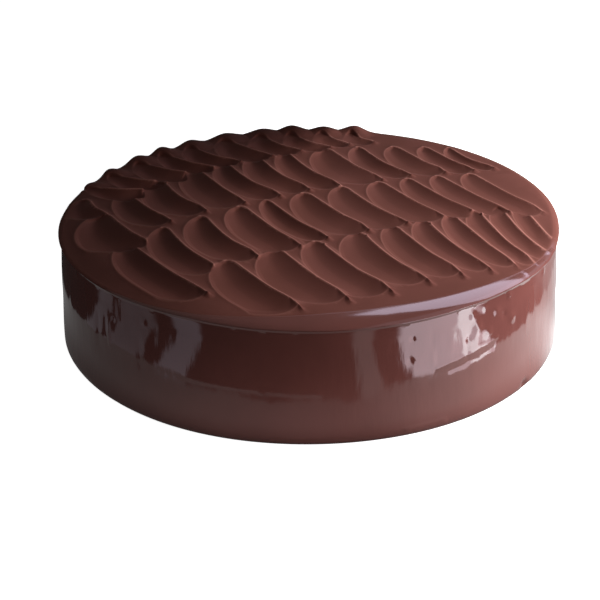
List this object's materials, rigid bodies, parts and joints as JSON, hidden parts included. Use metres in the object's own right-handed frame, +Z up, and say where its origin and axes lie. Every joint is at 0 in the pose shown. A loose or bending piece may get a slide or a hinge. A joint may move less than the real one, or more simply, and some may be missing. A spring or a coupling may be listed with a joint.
{
  "type": "chocolate cake",
  "caption": "Round chocolate layer cake coated in smooth dark ganache, its top finished in rows of spatula swirls.",
  "frame": {"origin": "middle of the cake's flat underside", "axes": "+Z up through the swirled top, +X to the right and +Y to the back as the picture shows the cake"},
  "size_m": [0.2408, 0.2393, 0.0589],
  "materials": {
    "ganache": "dark chocolate ganache, satin on top and glossy on the side"
  },
  "bodies": {
    "root": {"chocolate_cake": "ganache"}
  },
  "joints": []
}
